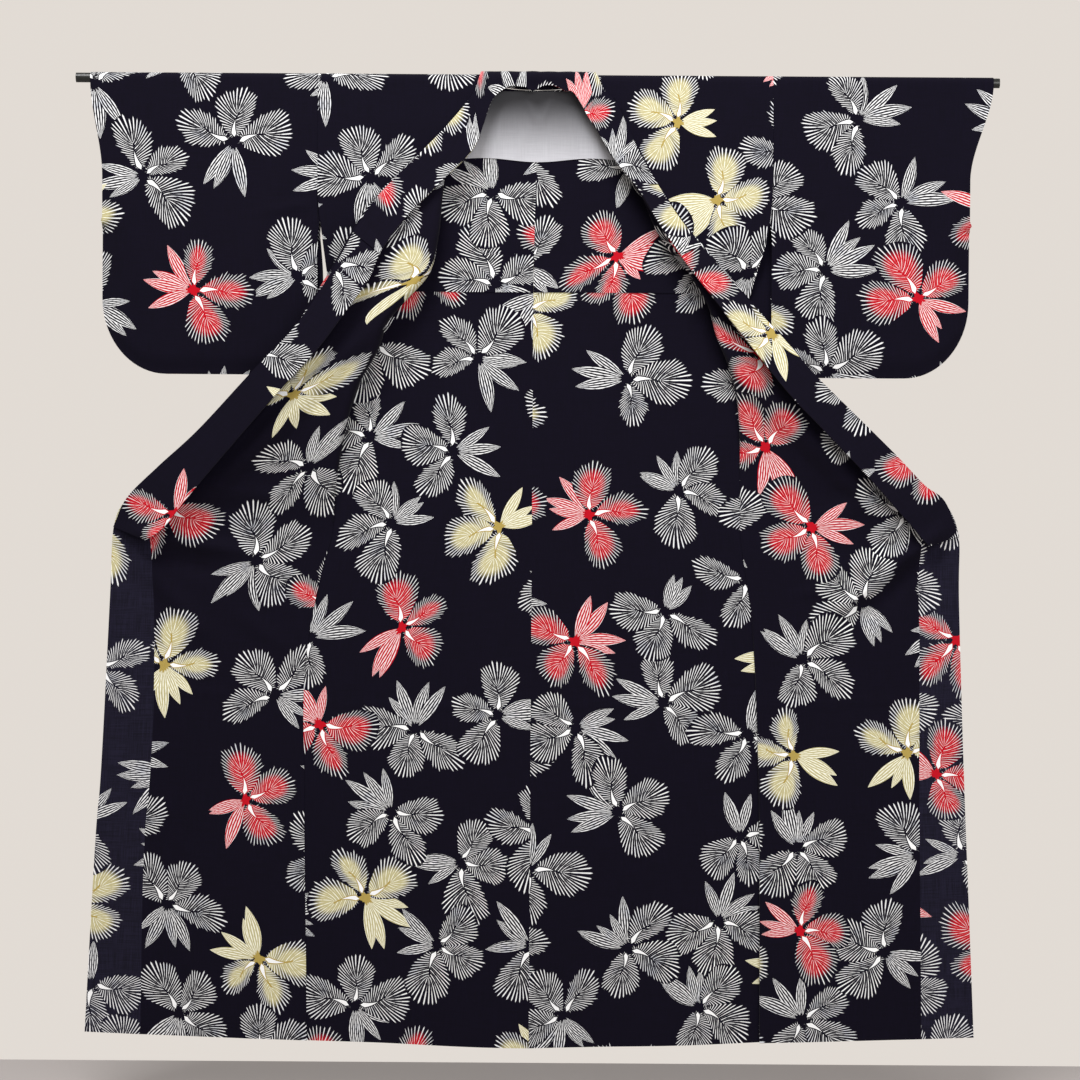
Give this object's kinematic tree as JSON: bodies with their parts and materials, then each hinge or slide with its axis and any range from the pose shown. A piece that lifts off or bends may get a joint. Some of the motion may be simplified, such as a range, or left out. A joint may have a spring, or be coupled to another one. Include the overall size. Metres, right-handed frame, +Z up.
{
  "type": "yukata robe on hanging rod",
  "caption": "Cotton yukata robe hung open by its sleeves on a straight rod, with its collar, overlap strips, shoulder lining and waist tuck.",
  "frame": {"origin": "middle of the hanging rod's axis, where a stand or pegs hold the rod up", "axes": "+X along the rod to the viewer's right, +Y away from the viewer who faces the open front, +Z up"},
  "size_m": [1.44, 0.0867, 1.5261],
  "materials": {
    "navy_back_left": "printed cotton, matte",
    "navy_back_right": "printed cotton, matte",
    "navy_front_left": "printed cotton, matte",
    "navy_front_right": "printed cotton, matte",
    "navy_okumi_left": "printed cotton, matte",
    "navy_okumi_right": "printed cotton, matte",
    "navy_sleeve_left_front": "printed cotton, matte",
    "navy_sleeve_left_back": "printed cotton, matte",
    "navy_sleeve_right_front": "printed cotton, matte",
    "navy_sleeve_right_back": "printed cotton, matte",
    "navy_tuck_left": "printed cotton, matte",
    "navy_tuck_right": "printed cotton, matte",
    "navy_collar": "printed cotton, matte",
    "navy_over_collar": "printed cotton, matte",
    "white_lining": "plain white cotton, matte",
    "dark_rod": "dark lacquered wood"
  },
  "bodies": {
    "root": {"back_left": "navy_back_left", "back_right": "navy_back_right", "front_left": "navy_front_left", "front_right": "navy_front_right", "okumi_left": "navy_okumi_left", "okumi_right": "navy_okumi_right", "sleeve_left_front": "navy_sleeve_left_front", "sleeve_left_back": "navy_sleeve_left_back", "sleeve_right_front": "navy_sleeve_right_front", "sleeve_right_back": "navy_sleeve_right_back", "waist_tuck_left": "navy_tuck_left", "waist_tuck_right": "navy_tuck_right", "collar": "navy_collar", "over_collar": "navy_over_collar", "shoulder_lining": "white_lining", "hanging_rod": "dark_rod"}
  },
  "joints": []
}
